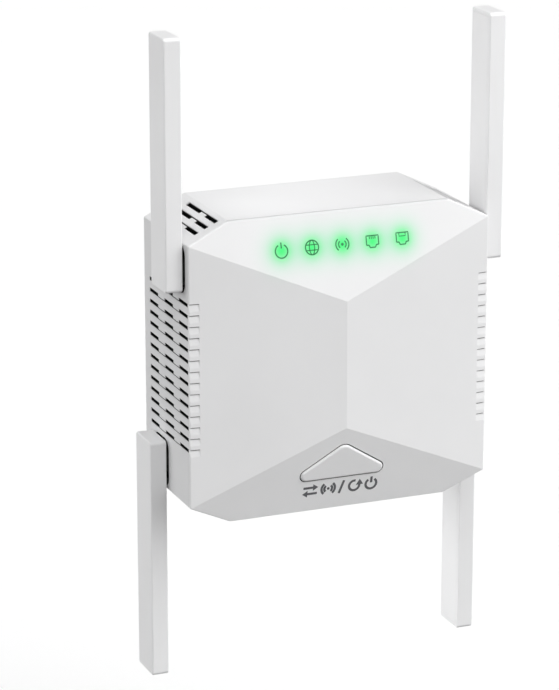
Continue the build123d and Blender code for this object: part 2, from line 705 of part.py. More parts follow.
def build_heat_sink():
    """Finned plate on the back of the main board."""
    count, half = SINK_FINS
    pitch = 2 * (SINK_HALF - half) / (count - 1)
    base_back = JACK_FRONT + SINK_BASE
    sink = block(-SINK_HALF, SINK_HALF, JACK_FRONT, base_back, *SINK_LIFTS)
    for index in range(count):
        x = half - SINK_HALF + index * pitch
        sink = sink + block(x - half, x + half, base_back - OVERLAP, JACK_FRONT + SINK_HEIGHT, *SINK_LIFTS)
    return sink


def build_transformer_core():
    """Ferrite core of the switching transformer."""
    back = POWER_BOARD_DEPTH
    low, high = CORE_LIFTS
    window_half, end = CORE_WINDOW
    leg_half, leg_near, leg_far = CORE_LEG
    outer = block(-CORE_HALF, CORE_HALF, back - CORE_HEIGHT, back, low, high)
    window = block(-window_half, window_half, back - CORE_HEIGHT - 1, back + 1, low + end, high - end)
    return outer - window + block(-leg_half, leg_half, back - leg_far, back - leg_near, low, high)


def build_transformer_coil():
    """Windings around the core's centre leg."""
    back = POWER_BOARD_DEPTH
    low, high = CORE_LIFTS
    window_half, end = CORE_WINDOW
    leg_half, leg_near, leg_far = CORE_LEG
    near, far = COIL_LEVELS
    half = window_half - COIL_FIT
    hole = leg_half + COIL_FIT
    coil = block(-half, half, back - far, back - near, low + end + COIL_FIT, high - end - COIL_FIT)
    return coil - block(-hole, hole, back - leg_far - COIL_FIT, back - leg_near + COIL_FIT, low, high)


def build_capacitors():
    """Two smoothing capacitors standing on the power board."""
    cans = []
    for x, level, radius, height in CAPACITORS:
        can = rod_y(x, level, radius, POWER_BOARD_DEPTH - height, POWER_BOARD_DEPTH)
        top = can.edges().filter_by(GeomType.CIRCLE).sort_by(Axis.Y)[0]
        cans.append(fillet(top, CAPACITOR_ROUND))
    return join(cans)


def build_fuse():
    """Glass fuse beside the mains inlet, just clear of the board."""
    half, level, radius = FUSE
    return rod_x(-half, half, depth(POWER_BOARD_DEPTH - radius - 0.1), lift(level), radius)


def build_board_link():
    """Header with a row of pins that joins the two boards."""
    count, pitch, half = LINK_PINS
    header_half, thick, rise = LINK_HEADER
    low = LINK_LIFT - half
    high = LINK_LIFT + half
    link = block(-header_half, header_half, JACK_FRONT, JACK_FRONT + thick, LINK_LIFT - rise, LINK_LIFT + rise)
    for index in range(count):
        x = (index - (count - 1) / 2) * pitch
        link = link + block(x - half, x + half, JACK_FRONT, POWER_BOARD_DEPTH, low, high)
    return link


# ---- network sockets ----

def build_jack(x):
    """Shielded socket with its mouth facing down."""
    half = JACK_WIDTH / 2
    mouth_half = JACK_MOUTH_WIDTH / 2
    latch_half = LATCH_WIDTH / 2
    below = JACK_LOW - 1
    top = JACK_LOW + JACK_MOUTH_LENGTH
    shell = block(x - half, x + half, JACK_FRONT, JACK_BACK, JACK_LOW, JACK_LOW + JACK_LENGTH)
    shell = shell - block(x - mouth_half, x + mouth_half, MOUTH_FRONT, MOUTH_BACK, below, top)
    latch_front = MOUTH_FRONT - LATCH_HEIGHT
    return shell - block(x - latch_half, x + latch_half, latch_front, MOUTH_FRONT + 1, below, top)


def build_jack_contacts(x):
    """Eight sprung wires along the back wall of a socket's mouth."""
    wires = []
    foot = JACK_LOW + JACK_MOUTH_LENGTH
    face = MOUTH_BACK - WIRE_THICK
    profile = polygon([
        (depth(MOUTH_BACK), lift(foot)), (depth(face), lift(foot)), (depth(face), lift(foot - WIRE_ROOT)),
        (depth(MOUTH_BACK - WIRE_REACH), lift(JACK_LOW + WIRE_TIP)),
        (depth(MOUTH_BACK - WIRE_REACH + WIRE_THICK), lift(JACK_LOW + WIRE_TIP)),
        (depth(MOUTH_BACK), lift(foot - WIRE_ROOT)),
    ])
    for index in range(CONTACT_COUNT):
        centre = x + (index - (CONTACT_COUNT - 1) / 2) * CONTACT_PITCH
        wires.append(extrude(Plane.YZ.offset(centre - WIRE_WIDTH / 2) * profile, WIRE_WIDTH))
    return join(wires)


# ---- plug ----

def build_plug_base():
    """Round contoured plug body with earth notches above and below and guide notches beside."""
    end = DEPTH + PLUG_DEPTH
    body = rod_y(0, PLUG_LIFT, PLUG_R, DEPTH, end)
    rim = body.edges().filter_by(GeomType.CIRCLE).sort_by(Axis.Y)[-1]
    body = fillet(rim, PLUG_ROUND) + rod_y(0, PLUG_LIFT, PLUG_NECK_R, BACK_INNER, DEPTH + OVERLAP)
    hollow = rod_y(0, PLUG_LIFT, PLUG_NECK_R - PLUG_WALL, BACK_INNER - 1, end - PLUG_FACE_WALL)
    web = block(-PLUG_R, PLUG_R, BACK_INNER, end, PLUG_LIFT - PLUG_WEB, PLUG_LIFT + PLUG_WEB)
    body = body - (hollow - web)
    start = DEPTH + NOTCH_START
    earth_half, earth_deep = EARTH_NOTCH
    guide_half, guide_deep = GUIDE_NOTCH
    recess_room, recess_depth = PIN_RECESS
    for sign in (-1, 1):
        body = body - block(-earth_half, earth_half, start, end + 1,
                            PLUG_LIFT + sign * (PLUG_R - earth_deep), PLUG_LIFT + sign * (PLUG_R + 2))
        body = body - block(sign * (PLUG_R - guide_deep), sign * (PLUG_R + 2), start, end + 1,
                            PLUG_LIFT - guide_half, PLUG_LIFT + guide_half)
        pin_x = sign * PIN_SPACING / 2
        body = body - rod_y(pin_x, PLUG_LIFT, PIN_SHANK_R + PIN_FIT, BACK_INNER - 1, end + 1)
        body = body - rod_y(pin_x, PLUG_LIFT, PIN_R + recess_room, end - recess_depth, end + 1)
        screw_level = PLUG_LIFT + sign * CARRIER_SCREW_RISE
        body = body - rod_y(0, screw_level, CARRIER_SCREW[0] + PILOT_FIT, BACK_INNER - 1, DEPTH + 5)
    return body


def build_plug_pin(sign):
    """Solid mains pin with a domed tip and a thinner shank inside the plug base."""
    x = sign * PIN_SPACING / 2
    end = DEPTH + PLUG_DEPTH
    pin = rod_y(x, PLUG_LIFT, PIN_R, end, end + PIN_LENGTH)
    tip = pin.edges().filter_by(GeomType.CIRCLE).sort_by(Axis.Y)[-1]
    return fillet(tip, PIN_TIP_ROUND) + rod_y(x, PLUG_LIFT, PIN_SHANK_R, BACK_INNER - PIN_TAIL, end + 1)


def build_contact_carrier():
    """Insulating plate that clamps the plug base to the back wall from inside."""
    front = BACK_INNER - CARRIER_THICK
    half_x, half_z = CARRIER_HALF
    plate = block(-half_x, half_x, front, BACK_INNER, PLUG_LIFT - half_z, PLUG_LIFT + half_z)
    for sign in (-1, 1):
        pin_hole = rod_y(sign * PIN_SPACING / 2, PLUG_LIFT, PIN_SHANK_R + PIN_FIT, front - 1, DEPTH)
        screw_level = PLUG_LIFT + sign * CARRIER_SCREW_RISE
        screw_hole = rod_y(0, screw_level, CARRIER_SCREW[0] + SCREW_ROOM, front - 1, DEPTH)
        plate = plate - pin_hole - screw_hole
    return plate


def build_carrier_screws():
    """Two screws from the carrier into the plug base."""
    seat = BACK_INNER - CARRIER_THICK
    levels = [PLUG_LIFT + sign * CARRIER_SCREW_RISE for sign in (-1, 1)]
    return join([pan_screw(0, level, seat, 1, CARRIER_SCREW) for level in levels])


def build_mains_contacts():
    """Solder tabs from the pins' inner ends to the power board."""
    tabs = []
    for sign in (-1, 1):
        x = sign * PIN_SPACING / 2
        tabs.append(block(x - TAB_HALF, x + TAB_HALF, POWER_BOARD_DEPTH + BOARD_THICK,
                          BACK_INNER - PIN_TAIL, PLUG_LIFT - TAB_HALF, PLUG_LIFT + TAB_HALF))
    return join(tabs)


# ---- antennas: built pointing up beside the right wall, hinge axis through (0, 0) ----

def blade_profile(inset):
    """Side view of a blade in Y and Z around its hinge axis."""
    half = BLADE_WIDTH / 2 - inset
    low = -HUB_FROM_END + inset
    high = BLADE_LENGTH - HUB_FROM_END - inset
    face = polygon([(-half, low), (half, low), (half, high), (-half, high)])
    return fillet(face.vertices(), max(BLADE_CORNER - inset, 0.5))


def build_blade_shell():
    """Outer antenna casing, open towards the housing."""
    shell = extrude(Plane.YZ.offset(BLADE_GAP) * blade_profile(0), BLADE_THICK)
    shell = fillet(shell.faces().sort_by(Axis.X)[-1].edges(), BLADE_ROUND)
    shell = fillet(shell.faces().sort_by(Axis.X)[0].edges(), BLADE_INNER_ROUND)
    hollow = extrude(Plane.YZ * blade_profile(BLADE_SKIN), BLADE_GAP + BLADE_THICK - BLADE_SKIN)
    return shell - hollow


def build_blade_lid():
    """Flat lid set into the casing, drilled for the hub."""
    lid = extrude(Plane.YZ.offset(BLADE_GAP) * blade_profile(BLADE_SKIN + LID_GAP), LID_THICK)
    for level in LID_RIB_LEVELS:
        lid = lid + Pos(BLADE_GAP + LID_THICK + 0.1, 0, level) * Box(*LID_RIB)
    return lid - rod_x(-1, BLADE_THICK, 0, 0, SPIGOT_BORE_R)


def build_blade_element():
    """Printed aerial strip inside the casing, with slots cut from one edge."""
    x0 = BLADE_GAP + LID_THICK + 0.5
    x1 = x0 + ELEMENT_THICK
    strip = block_xyz(x0, x1, -ELEMENT_HALF, ELEMENT_HALF, *ELEMENT_ENDS)
    for level in ELEMENT_SLOT_LEVELS:
        strip = strip - block_xyz(x0 - 1, x1 + 1, -0.4, ELEMENT_HALF + 1, level, level + 2.0)
    return strip


def build_blade_hub():
    """Hinge hub: a round flange and a hollow spigot with a clip groove."""
    flange = rod_x(-POCKET_DEPTH + 0.1, BLADE_GAP, 0, 0, FLANGE_R)
    hub = flange + rod_x(SPIGOT_END, 0, 0, 0, SPIGOT_R)
    start = CLIP_START - CLIP_THICK - CLIP_SLACK
    end = CLIP_START + CLIP_SLACK
    groove = rod_x(start, end, 0, 0, SPIGOT_R + 1) - rod_x(start, end, 0, 0, CLIP_GROOVE_R)
    return hub - groove - rod_x(SPIGOT_END - 1, BLADE_GAP + 1, 0, 0, SPIGOT_BORE_R)


def build_blade_clip():
    """Open spring clip in the hub's groove."""
    start = CLIP_START - CLIP_THICK
    ring = rod_x(start, CLIP_START, 0, 0, CLIP_R)
    ring = ring - rod_x(start - 1, CLIP_START + 1, 0, 0, CLIP_GROOVE_R + 0.03)
    return ring - block_xyz(start - 1, CLIP_START + 1, -CLIP_MOUTH / 2, CLIP_MOUTH / 2, 0, CLIP_R + 1)


def build_lead(hub, end_depth, end_lift):
    """Thin coaxial lead from a right-hand hinge hub to its plug on the main board."""
    hub_depth, hub_lift = hub
    start = (HALF_W + SPIGOT_END + LEAD_INSERT, depth(hub_depth), lift(hub_lift))
    corner = (LEAD_X, depth(hub_depth), lift(hub_lift))
    end = (LEAD_X, depth(end_depth), lift(end_lift))
    path = FilletPolyline(start, corner, end, radius=LEAD_BEND)
    section = Plane(origin=start, z_dir=(-1, 0, 0)) * Circle(LEAD_R)
    return sweep(section, path=path)


def build_lead_plugs():
    """Four small coaxial plugs, one pair on each face of the main board."""
    plugs = []
    for x in (-LEAD_X, LEAD_X):
        plugs.append(rod_y(x, UPPER_PLUG_LIFT, LEAD_PLUG_R, MAIN_BOARD_DEPTH - 1.7, MAIN_BOARD_DEPTH))
        plugs.append(rod_y(x, LOWER_HUB[1], LEAD_PLUG_R, JACK_FRONT, LOWER_PLUG_DEPTH))
    return join(plugs)


def place_antenna(shape, hub, side, up):
    """Move a part of the upright antenna to one of the four hinges."""
    hub_depth, hub_lift = hub
    if up < 0:
        shape = mirror(shape, about=Plane.XY)
    shape = Pos(HALF_W, depth(hub_depth), lift(hub_lift)) * shape
    return shape if side > 0 else mirror(shape, about=Plane.YZ)


os.makedirs("parts", exist_ok=True)

outer_form = rounded_envelope()

save("front_cover", build_front_cover(outer_form))
save("rear_housing", build_rear_housing(outer_form))
save("pairing_button", build_button())
save("switch_body", build_switch_body())
save("switch_plunger", build_switch_plunger())
save("light_guide", build_light_guide())
save("led_emitters", build_led_emitters())
save("main_board", build_main_board())
save("power_board", build_power_board())
save("housing_screws", build_housing_screws())
save("board_screws", build_board_screws())
save("power_board_screws", build_power_board_screws())
save("rf_shield", build_rf_shield())
save("radio_chips", chips(RADIO_CHIPS, MAIN_BOARD_DEPTH))
save("heat_sink", build_heat_sink())
save("transformer_core", build_transformer_core())
save("transformer_coil", build_transformer_coil())
save("capacitors", build_capacitors())
save("fuse", build_fuse())
save("rectifier_chips", chips(POWER_CHIPS, POWER_BOARD_DEPTH))
save("board_link", build_board_link())
save("plug_base", build_plug_base())
save("contact_carrier", build_contact_carrier())
save("carrier_screws", build_carrier_screws())
save("mains_contacts", build_mains_contacts())
save("lead_plugs", build_lead_plugs())

ANTENNA_PARTS = {
    "shell": build_blade_shell(),
    "lid": build_blade_lid(),
    "element": build_blade_element(),
    "hub": build_blade_hub(),
    "clip": build_blade_clip(),
}
LEADS = {
    "upper": build_lead(UPPER_HUB, UPPER_HUB[0], UPPER_PLUG_LIFT + LEAD_PLUG_R),
    "lower": build_lead(LOWER_HUB, LOWER_PLUG_DEPTH, LOWER_HUB[1]),
}

for label, side in (("left", -1), ("right", 1)):
    save(f"network_socket_{label}", build_jack(side * JACK_SPACING / 2))
    save(f"socket_contacts_{label}", build_jack_contacts(side * JACK_SPACING / 2))
    save(f"plug_pin_{label}", build_plug_pin(side))
    for row_name, hub, up in (("upper", UPPER_HUB, 1), ("lower", LOWER_HUB, -1)):
        for part_name, shape in ANTENNA_PARTS.items():
            save(f"antenna_{row_name}_{label}_{part_name}", place_antenna(shape, hub, side, up))
        lead = LEADS[row_name] if side > 0 else mirror(LEADS[row_name], about=Plane.YZ)
        save(f"antenna_{row_name}_{label}_lead", lead)
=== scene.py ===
import json
import math

import bmesh
import bpy
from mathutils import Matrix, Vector


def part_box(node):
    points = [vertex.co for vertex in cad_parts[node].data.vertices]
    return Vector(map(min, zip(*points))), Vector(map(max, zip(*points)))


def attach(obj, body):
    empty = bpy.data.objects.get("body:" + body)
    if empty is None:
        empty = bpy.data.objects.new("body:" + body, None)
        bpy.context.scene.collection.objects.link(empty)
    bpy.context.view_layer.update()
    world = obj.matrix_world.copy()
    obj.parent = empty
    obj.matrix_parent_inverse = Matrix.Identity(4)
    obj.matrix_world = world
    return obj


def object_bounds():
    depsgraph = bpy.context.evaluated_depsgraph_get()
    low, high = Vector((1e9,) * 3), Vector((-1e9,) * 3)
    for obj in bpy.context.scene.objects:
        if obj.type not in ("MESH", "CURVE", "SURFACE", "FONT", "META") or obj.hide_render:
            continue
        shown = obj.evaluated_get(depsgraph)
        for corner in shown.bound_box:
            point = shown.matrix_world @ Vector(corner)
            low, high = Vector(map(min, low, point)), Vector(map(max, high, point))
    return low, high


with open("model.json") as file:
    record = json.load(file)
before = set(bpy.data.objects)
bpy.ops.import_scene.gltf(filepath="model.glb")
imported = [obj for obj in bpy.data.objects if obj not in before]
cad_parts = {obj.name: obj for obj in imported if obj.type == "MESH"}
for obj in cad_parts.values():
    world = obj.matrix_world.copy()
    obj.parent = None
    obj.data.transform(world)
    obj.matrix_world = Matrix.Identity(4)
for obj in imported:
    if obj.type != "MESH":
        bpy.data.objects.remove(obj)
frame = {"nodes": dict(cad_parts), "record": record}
CAD_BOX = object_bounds()
MM = 0.001

# ---- measures taken from the frame, in metres ----
COVER_LOW, COVER_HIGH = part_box("front_cover")
BUTTON_LOW, BUTTON_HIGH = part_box("pairing_button")
LAMP_LOW, LAMP_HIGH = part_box("led_emitters")
BACK_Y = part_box("rear_housing")[1].y
BODY_MID_Z = (COVER_LOW.z + COVER_HIGH.z) / 2
RIDGE_Y = COVER_LOW.y
HALF_HEIGHT = (COVER_HIGH.z - COVER_LOW.z) / 2
HALF_WIDTH = COVER_HIGH.x

# ---- the body's outer form, as the CAD model drives it ----
SIDE_SETBACK = 4.15 * MM     # how far the cover's side edges lie behind the ridge
CORNER_RUN = 10.9 * MM       # a cut corner's size across the body
CORNER_RISE = 5.15 * MM      # and up it
RIDGE_TOP = 16.6 * MM        # the ridge's ends, from the body's middle
RIDGE_BOTTOM = -16.1 * MM
TOP_SLOPE = SIDE_SETBACK / (HALF_HEIGHT - CORNER_RISE - RIDGE_TOP)
BOTTOM_SLOPE = SIDE_SETBACK / (HALF_HEIGHT - CORNER_RISE + RIDGE_BOTTOM)

# ---- lamps behind the cover ----
LAMP_COUNT = 5
LAMP_WIDTH = 1.6 * MM
LAMP_Z = (LAMP_LOW.z + LAMP_HIGH.z) / 2
LAMP_PITCH = (LAMP_HIGH.x - LAMP_LOW.x - LAMP_WIDTH) / (LAMP_COUNT - 1)


def lamp_x(index):
    """X of one lamp."""
    return (index - (LAMP_COUNT - 1) / 2) * LAMP_PITCH


# ---------------------------------------------------------------- shading

# A colour mix node's sockets, by number, because its names repeat
MIX_SHARE = 0
MIX_FIRST = 6
MIX_SECOND = 7
MIX_RESULT = 2


class Shading:
    """A node material being put together, with short ways to add and link its nodes.

    Values given to its methods are numbers, vectors, colours (red, green, blue) or outputs of nodes.
    """

    def __init__(self, name):
        self.name = name
        self.material = bpy.data.materials.new(name)
        self.material.use_nodes = True
        self.nodes = self.material.node_tree.nodes
        self.links = self.material.node_tree.links
        self.shader = self.nodes["Principled BSDF"]
        self.place = self.nodes.new("ShaderNodeTexCoord").outputs["Object"]

    def feed(self, socket, value):
        """Give an input a value, or link it to an output."""
        if isinstance(value, bpy.types.NodeSocket):
            self.links.new(value, socket)
        elif socket.type == "RGBA":
            socket.default_value = (*value, 1.0)
        else:
            socket.default_value = value

    def surface(self, inputs):
        """Feed inputs of the surface shader, by name."""
        for label, value in inputs.items():
            self.feed(self.shader.inputs[label], value)

    def add(self, kind, inputs):
        """New node with inputs fed, by name."""
        node = self.nodes.new(kind)
        for label, value in inputs.items():
            self.feed(node.inputs[label], value)
        return node

    def axis(self, label):
        """X, Y or Z of the point, in metres."""
        return self.add("ShaderNodeSeparateXYZ", {"Vector": self.place}).outputs[label]

    def noise(self, scale, detail=4.0, roughness=0.55, vector=None):
        """Soft noise, read at the point or at another vector."""
        inputs = {"Scale": scale, "Detail": detail, "Roughness": roughness}
        inputs["Vector"] = self.place if vector is None else vector
        return self.add("ShaderNodeTexNoise", inputs).outputs["Fac"]

    def remap(self, value, low, high, out_low=0.0, out_high=1.0):
        """Clamped linear map of a value."""
        inputs = {"Value": value, "From Min": low, "From Max": high, "To Min": out_low, "To Max": out_high}
        return self.add("ShaderNodeMapRange", inputs).outputs["Result"]

    def compute(self, operation, first, second=0.0):
        """Result of one math node."""
        node = self.nodes.new("ShaderNodeMath")
        node.operation = operation
        self.feed(node.inputs[0], first)
        self.feed(node.inputs[1], second)
        return node.outputs["Value"]

    def combine(self, operation, values):
        """One value from several, two at a time."""
        result = values[0]
        for value in values[1:]:
            result = self.compute(operation, result, value)
        return result

    def mix(self, share, first, second):
        """Colour between two colours."""
        node = self.nodes.new("ShaderNodeMix")
        node.data_type = "RGBA"
        for number, value in ((MIX_SHARE, share), (MIX_FIRST, first), (MIX_SECOND, second)):
            self.feed(node.inputs[number], value)
        return node.outputs[MIX_RESULT]

    def bump(self, height, distance, strength):
        """Relief from a height value; distance is the full height, in metres."""
        relief = self.add("ShaderNodeBump", {"Height": height, "Distance": distance, "Strength": strength})
        self.surface({"Normal": relief.outputs["Normal"]})


def tinted(color, factor, lift=0.0):
    """A lighter or darker version of a colour."""
    return tuple(min(1.0, channel * factor + lift) for channel in color)


# ---------------------------------------------------------------- depth below the outer form

SHELF_DEPTH = 0.25 * MM      # the cut corners are kept out of the painted shade to this depth, so that their shelves are


def skin_depth(shading):
    """How far a point lies below the body's outer form: octagonal outline, front facets and back."""
    compute = shading.compute
    across = compute("ABSOLUTE", shading.axis("X"))
    level = compute("SUBTRACT", shading.axis("Z"), BODY_MID_Z)
    beyond_side = compute("SUBTRACT", across, HALF_WIDTH)
    beyond_top = compute("SUBTRACT", compute("ABSOLUTE", level), HALF_HEIGHT)
    beyond_back = compute("SUBTRACT", shading.axis("Y"), BACK_Y)

    slant = math.hypot(CORNER_RUN, CORNER_RISE)
    share_across = compute("MULTIPLY", beyond_side, CORNER_RISE / slant)
    share_up = compute("MULTIPLY", beyond_top, CORNER_RUN / slant)
    corner_offset = CORNER_RUN * CORNER_RISE / slant + SHELF_DEPTH
    beyond_corner = compute("ADD", compute("ADD", share_across, share_up), corner_offset)

    side_facet = compute("MULTIPLY", across, SIDE_SETBACK / HALF_WIDTH)
    top_facet = compute("MULTIPLY", compute("SUBTRACT", level, RIDGE_TOP), TOP_SLOPE)
    bottom_facet = compute("MULTIPLY", compute("SUBTRACT", RIDGE_BOTTOM, level), BOTTOM_SLOPE)
    setback = shading.combine("MAXIMUM", (side_facet, top_facet, bottom_facet))
    front = compute("ADD", setback, RIDGE_Y)
    beyond_front = compute("SUBTRACT", front, shading.axis("Y"))

    beyond = (beyond_side, beyond_top, beyond_corner, beyond_back, beyond_front)
    return compute("MULTIPLY", shading.combine("MAXIMUM", beyond), -1.0)


# ---------------------------------------------------------------- plastics

PLASTIC_IOR = 1.49
WHITE = (0.86, 0.86, 0.865)


def moulded_plastic(name, color, roughness=0.36, grain=1400.0, grain_height=0.012, shade=None, gloss=0.5):
    """Moulded plastic: fine spark-eroded grain, slow tint drift, a little handling gloss and, if asked,
    painted shade.

    grain is the noise's scale, and grain_height is in millimetres. shade is (start depth, full depth,
    remaining brightness) of painted shade: the plastic's colour is painted darker between two depths below
    the body's outer form, where recesses would lie in shade, in millimetres, and a depth below zero lies
    outside that form.
    """
    shading = Shading(name)
    drift = shading.noise(scale=22.0, detail=3.0)
    tint = shading.mix(shading.remap(drift, low=0.35, high=0.65), color, tinted(color, 0.965))
    # painted shade: darker the further a point lies below the body's outer form
    if shade:
        start, full, remaining = shade
        recess_shade = shading.remap(skin_depth(shading), start * MM, full * MM)
        tint = shading.mix(recess_shade, tint, tinted(color, remaining))
    polish = shading.noise(scale=60.0)
    rough = shading.remap(polish, low=0.3, high=0.7, out_low=roughness - 0.04, out_high=roughness + 0.05)
    shading.surface({"Base Color": tint, "Roughness": rough})
    shading.surface({"IOR": PLASTIC_IOR, "Specular IOR Level": gloss})
    shading.bump(shading.noise(grain, detail=3.0, roughness=0.6), grain_height * MM, strength=0.6)
    return shading


# The painted glow over each lamp, in the cover's colour and its light: a bright core inside a wider halo
CORE_R = 2.35 * MM
CORE_COLOR = (0.04, 0.77, 0.16)
HALO_R = 4.3 * MM
HALO_COLOR = (0.36, 0.84, 0.54)
HALO_SHARE = 0.76
GLOW_LIGHT = (0.10, 1.0, 0.36)
GLOW_STRENGTH = 0.16

# Painted shade in the gap around the button: it darkens between these depths below the facets
GAP_START = 0.06 * MM
GAP_FULL = 0.25 * MM
GAP_SHADE_COLOR = (0.02, 0.02, 0.02)

# A painted shadow line on the cover's rim along the top wall, darkening between these distances below the
# cover's top
RIM_START = 0.3 * MM
RIM_FULL = 0.1 * MM
RIM_SHADOW_COLOR = (0.64, 0.64, 0.645)


def gaussian(shading, squared, radius):
    """exp(-(d/radius)^2) of a squared distance."""
    return shading.compute("EXPONENT", shading.compute("DIVIDE", squared, -radius * radius))


def lamp_glow(shading):
    """Strength of the painted glow's cores and of its halos over the lamps."""
    rise = shading.compute("SUBTRACT", shading.axis("Z"), LAMP_Z)
    rise_squared = shading.compute("MULTIPLY", rise, rise)
    cores = []
    halos = []
    for index in range(LAMP_COUNT):
        run = shading.compute("SUBTRACT", shading.axis("X"), lamp_x(index))
        squared = shading.compute("ADD", shading.compute("MULTIPLY", run, run), rise_squared)
        cores.append(gaussian(shading, squared, CORE_R))
        halos.append(gaussian(shading, squared, HALO_R))
    core = shading.compute("MINIMUM", shading.combine("ADD", cores), 1.0)
    halo = shading.compute("MINIMUM", shading.combine("ADD", halos), 1.0)
    return core, halo


def button_gap_shade(shading):
    """Painted shade in the gap around the button: below the facets, no further out than the button's
    flange.
    """
    recess_shade = shading.remap(skin_depth(shading), GAP_START, GAP_FULL)
    across = shading.compute("ABSOLUTE", shading.axis("X"))
    return shading.compute("MULTIPLY", recess_shade, shading.compute("LESS_THAN", across, BUTTON_HIGH.x))


def top_rim_shadow(shading):
    """Strength of the painted shadow line on the cover's rim along the top wall, beside the seam."""
    return shading.remap(shading.axis("Z"), COVER_HIGH.z - RIM_START, COVER_HIGH.z - RIM_FULL)


def glowing_cover(name, color):
    """The cover's plastic, with a painted green glow over each lamp behind the thin window and painted
    shade.
    """
    shading = moulded_plastic(name, color, 0.34, shade=(0.2, 0.45, 0.25))
    plain = shading.shader.inputs["Base Color"].links[0].from_socket
    core, halo = lamp_glow(shading)
    # painted glow over the lamps, then painted shade in the button's gap and a painted shadow line on the
    # top rim
    tint = shading.mix(shading.compute("MULTIPLY", halo, HALO_SHARE), plain, HALO_COLOR)
    tint = shading.mix(core, tint, CORE_COLOR)
    tint = shading.mix(button_gap_shade(shading), tint, GAP_SHADE_COLOR)
    tint = shading.mix(top_rim_shadow(shading), tint, RIM_SHADOW_COLOR)
    glow = shading.compute("MULTIPLY", core, GLOW_STRENGTH)
    shading.surface({"Base Color": tint, "Emission Color": GLOW_LIGHT, "Emission Strength": glow})
    return shading


def clear_plastic(name, color, roughness=0.08):
    """Clear moulded plastic or glass with faint flow marks."""
    shading = Shading(name)
    flow = shading.noise(scale=90.0, detail=2.0)
    shading.surface({"Base Color": shading.mix(flow, color, tinted(color, 1.04))})
    shading.surface({"Transmission Weight": 0.85, "Roughness": roughness, "IOR": PLASTIC_IOR})
    shading.bump(flow, 0.02 * MM, strength=0.3)
    return shading


# ---------------------------------------------------------------- metals, boards, tape, ink and lamps

def metal(name, color, roughness=0.3, grain=(400.0, 30.0, 400.0), tarnish=0.12):
    """Plated or drawn metal with directional grain and slight tarnish."""
    shading = Shading(name)
    stretched = shading.add("ShaderNodeMapping", {"Vector": shading.place, "Scale": grain})
    lines = shading.noise(scale=8.0, detail=5.0, vector=stretched.outputs["Vector"])
    cloud = shading.noise(scale=180.0, detail=3.0)
    rough = shading.remap(lines, low=0.3, high=0.7, out_low=roughness - 0.08, out_high=roughness + 0.1)
    shading.surface({"Base Color": shading.mix(cloud, color, tinted(color, 1.0 - tarnish))})
    shading.surface({"Roughness": rough, "Metallic": 1.0})
    shading.bump(lines, 0.01 * MM, strength=0.5)
    return shading


def circuit_board(name, color):
    """Green solder mask over routed copper, seen as slightly lighter raised tracks."""
    shading = Shading(name)
    cells = shading.add("ShaderNodeTexVoronoi", {"Vector": shading.place, "Scale": 520.0})
    cells.distance = "MANHATTAN"
    tracks = shading.remap(cells.outputs["Distance"], low=0.42, high=0.5)
    mask = shading.mix(tracks, color, tinted(color, 1.7, lift=0.01))
    shading.surface({"Base Color": mask, "Roughness": 0.32})
    shading.bump(tracks, 0.03 * MM, strength=0.7)
    return shading


def wound_tape(name, color):
    """Insulating tape over windings, with wrap edges."""
    shading = Shading(name)
    wave = shading.add("ShaderNodeTexWave", {"Vector": shading.place, "Scale": 160.0, "Distortion": 0.6})
    wave.bands_direction = "Z"
    wraps = wave.outputs["Fac"]
    shading.surface({"Base Color": shading.mix(wraps, tinted(color, 0.7), color), "Roughness": 0.4})
    shading.bump(wraps, 0.05 * MM, strength=0.6)
    return shading


def printed_ink(name, color):
    """Pad-printed ink: flat colour with a slightly uneven film."""
    shading = Shading(name)
    film = shading.noise(scale=900.0, detail=3.0)
    tint = shading.mix(film, color, tinted(color, 1.25, lift=0.01))
    shading.surface({"Base Color": tint, "Roughness": 0.5})
    shading.bump(film, 0.005 * MM, strength=0.4)
    return shading


def lit_lamp(name, color):
    """Lit lamp die in its clear package."""
    shading = Shading(name)
    grain = shading.noise(scale=1500.0, detail=2.0)
    package = (0.6, 1.0, 0.7)
    shading.surface({"Base Color": shading.mix(grain, color, package)})
    shading.surface({"Emission Color": color, "Emission Strength": 2.0})
    return shading


